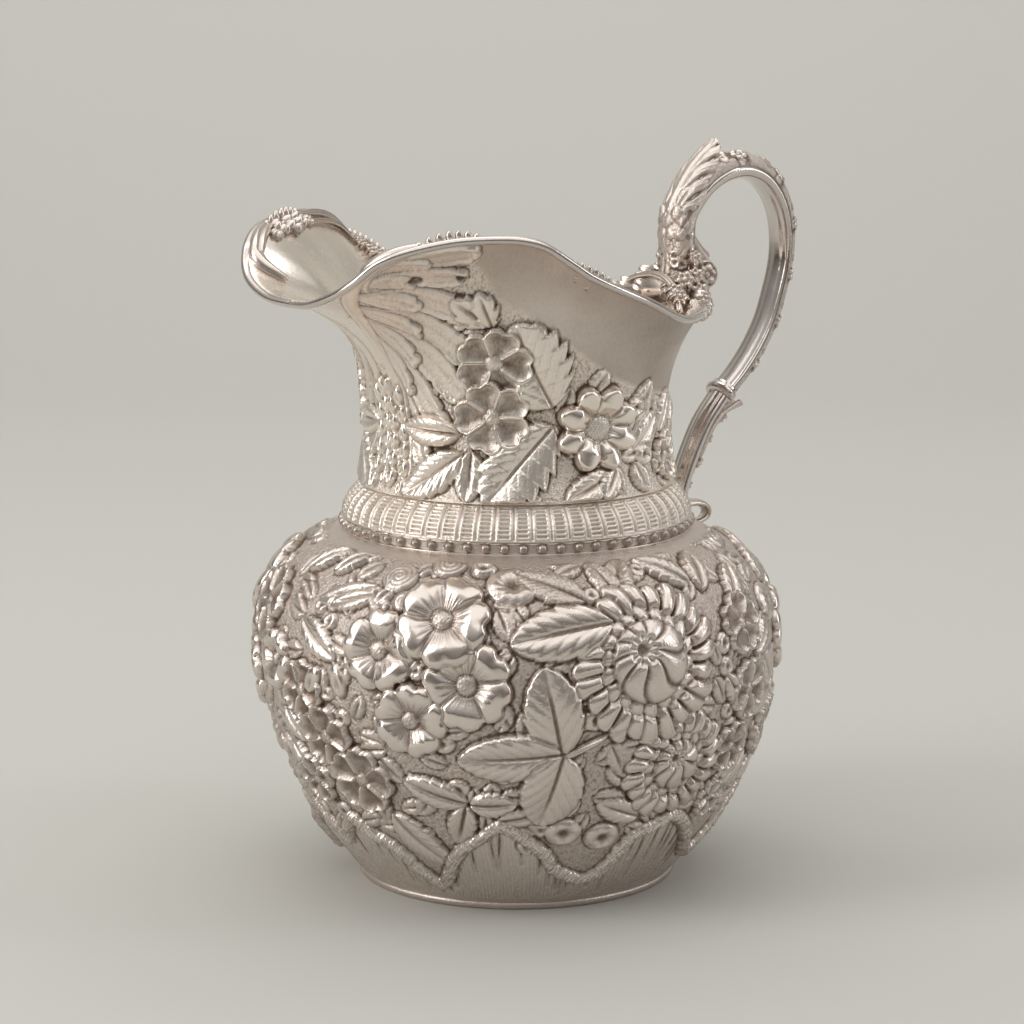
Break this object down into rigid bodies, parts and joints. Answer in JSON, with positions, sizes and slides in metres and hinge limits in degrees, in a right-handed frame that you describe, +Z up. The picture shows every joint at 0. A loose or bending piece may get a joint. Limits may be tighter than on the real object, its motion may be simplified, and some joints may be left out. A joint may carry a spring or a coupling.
{
  "type": "water pitcher",
  "caption": "Bulbous silver pitcher with chased flowers, a beaded collar, a flared pouring lip with cast rim ornaments and a scrolled strap handle.",
  "frame": {"origin": "centre of the base edge, on the plane the pitcher rests on", "axes": "+Z up along the body axis, spout towards -X, handle towards +X, left and right halves mirror across the XZ plane"},
  "size_m": [0.1901, 0.1582, 0.2239],
  "materials": {
    "chased_silver": "chased relief, bright raised flowers over a matted, slightly oxidised ground",
    "cast_silver": "cast and chased, dark oxidised recesses",
    "polished_silver": "polished, with fine polishing marks",
    "satin_silver": "satin sheet, fine turned marks"
  },
  "bodies": {
    "root": {"base_disc": "satin_silver", "foot_wire": "polished_silver", "lower_body": "chased_silver", "collar_band": "chased_silver", "bead_row": "chased_silver", "neck_and_spout": "chased_silver", "lip_wire": "polished_silver", "rim_scrolls_front": "cast_silver", "rim_flowers_front": "cast_silver", "rim_scrolls_side": "cast_silver", "rim_flowers_side": "cast_silver", "rim_scrolls_back": "cast_silver", "handle_outer_half": "cast_silver", "handle_inner_half": "polished_silver", "handle_thumb_leaf": "cast_silver", "handle_root_scroll": "cast_silver", "handle_root_flowers": "cast_silver", "handle_joint_collar": "polished_silver", "handle_lower_branch": "polished_silver", "handle_lower_leaf": "cast_silver", "handle_foot_scroll": "cast_silver"}
  },
  "joints": []
}
